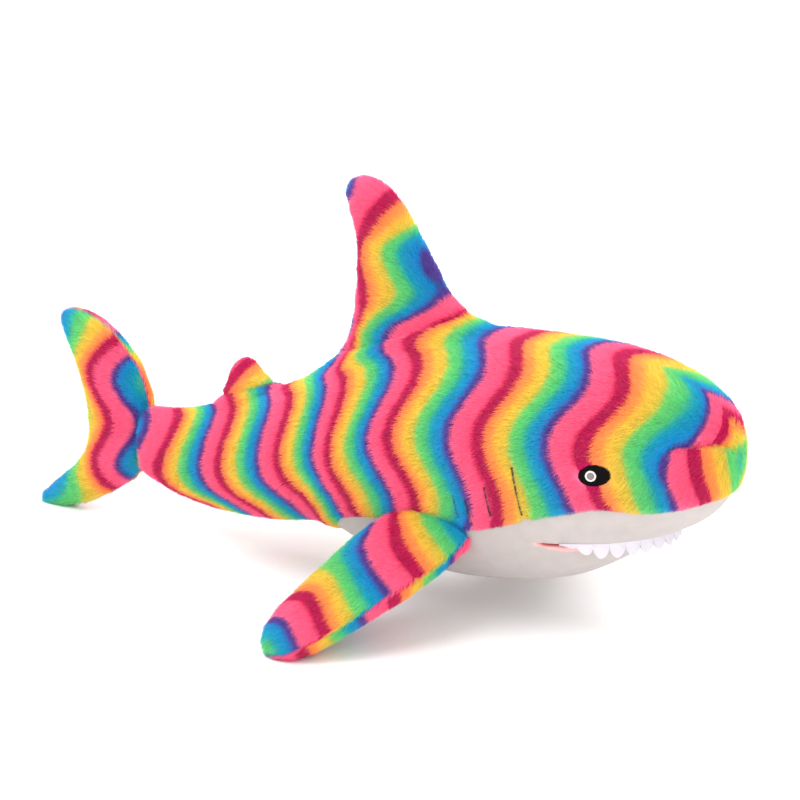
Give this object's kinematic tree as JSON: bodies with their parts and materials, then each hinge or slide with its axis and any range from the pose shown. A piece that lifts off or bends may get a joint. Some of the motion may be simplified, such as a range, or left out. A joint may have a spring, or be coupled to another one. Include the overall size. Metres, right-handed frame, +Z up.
{
  "type": "plush shark",
  "caption": "Stuffed toy shark with a wavy rainbow-striped pile back, fins and flippers, a smooth white belly, a slit mouth with felt teeth and embroidered eyes.",
  "frame": {"origin": "on the floor below the middle of the toy's length and width", "axes": "+X from the tail towards the nose, +Y towards the toy's left side, +Z up; the toy is mirror-symmetric about the XZ plane"},
  "size_m": [0.582, 0.3442, 0.284],
  "materials": {
    "striped_plush": "multicolour wavy stripes, combed pile about 6 mm long",
    "belly_plush": "smooth short-pile plush",
    "stuffing": "loose fibre filling",
    "mouth_lining": "plain woven",
    "felt": "felt",
    "black_embroidery": "satin stitch",
    "white_embroidery": "satin stitch",
    "lilac_embroidery": "satin stitch",
    "gill_thread": "sewing thread"
  },
  "bodies": {
    "body": {"right_side_panel": "striped_plush", "left_side_panel": "striped_plush", "belly_panel": "belly_plush", "snout_underside_panel": "belly_plush", "body_stuffing": "stuffing", "upper_mouth_lining": "mouth_lining", "upper_teeth": "felt", "right_eye_patch": "black_embroidery", "right_eye_ring": "white_embroidery", "right_eye_pupil": "lilac_embroidery", "right_gill_stitch_1": "gill_thread", "right_gill_stitch_2": "gill_thread", "right_gill_stitch_3": "gill_thread", "right_gill_stitch_4": "gill_thread", "left_eye_patch": "black_embroidery", "left_eye_ring": "white_embroidery", "left_eye_pupil": "lilac_embroidery", "left_gill_stitch_1": "gill_thread", "left_gill_stitch_2": "gill_thread", "left_gill_stitch_3": "gill_thread", "left_gill_stitch_4": "gill_thread"},
    "tail_stem": {"right_stem_panel": "striped_plush", "left_stem_panel": "striped_plush", "stem_stuffing": "stuffing"},
    "tail_fin": {"right_tail_fin_panel": "striped_plush", "left_tail_fin_panel": "striped_plush", "tail_fin_stuffing": "stuffing"},
    "dorsal_fin": {"right_dorsal_fin_panel": "striped_plush", "left_dorsal_fin_panel": "striped_plush", "dorsal_fin_stuffing": "stuffing"},
    "rear_dorsal_fin": {"right_rear_dorsal_fin_panel": "striped_plush", "left_rear_dorsal_fin_panel": "striped_plush", "rear_dorsal_fin_stuffing": "stuffing"},
    "right_flipper": {"right_flipper_top_panel": "striped_plush", "right_flipper_bottom_panel": "striped_plush", "right_flipper_stuffing": "stuffing"},
    "left_flipper": {"left_flipper_top_panel": "striped_plush", "left_flipper_bottom_panel": "striped_plush", "left_flipper_stuffing": "stuffing"},
    "lower_jaw": {"jaw_panel": "belly_plush", "jaw_stuffing": "stuffing", "lower_mouth_lining": "mouth_lining"}
  },
  "joints": [
    {"name": "tail_bend", "type": "hinge", "parent": "body", "child": "tail_stem", "pos_m": [-0.099, 0, 0.07], "axis": [0, 0, 1], "range_deg": [-15, 15], "stiffness_Nm_per_rad": 1.2},
    {"name": "tail_fin_sway", "type": "hinge", "parent": "tail_stem", "child": "tail_fin", "pos_m": [-0.182, 0, 0.067], "axis": [0, 0, 1], "range_deg": [-30, 30], "stiffness_Nm_per_rad": 0.2},
    {"name": "dorsal_fin_lean", "type": "hinge", "parent": "body", "child": "dorsal_fin", "pos_m": [0.043, 0, 0.186], "axis": [0.9328, 0, 0.3604], "range_deg": [-20, 20], "stiffness_Nm_per_rad": 0.15},
    {"name": "rear_dorsal_fin_lean", "type": "hinge", "parent": "tail_stem", "child": "rear_dorsal_fin", "pos_m": [-0.091, 0, 0.122], "axis": [0.9487, 0, 0.3162], "range_deg": [-20, 20], "stiffness_Nm_per_rad": 0.03},
    {"name": "right_flipper_lift", "type": "hinge", "parent": "body", "child": "right_flipper", "pos_m": [0.104, -0.076, 0.067], "axis": [-0.9931, 0.0605, -0.1008], "range_deg": [-5, 30], "stiffness_Nm_per_rad": 0.6},
    {"name": "left_flipper_lift", "type": "hinge", "parent": "body", "child": "left_flipper", "pos_m": [0.104, 0.076, 0.067], "axis": [0.9931, 0.0605, 0.1008], "range_deg": [-5, 30], "stiffness_Nm_per_rad": 0.6},
    {"name": "jaw_open", "type": "hinge", "parent": "body", "child": "lower_jaw", "pos_m": [0.185, 0, 0.0735], "axis": [0, 1, 0], "range_deg": [0, 12], "stiffness_Nm_per_rad": 0.3}
  ]
}
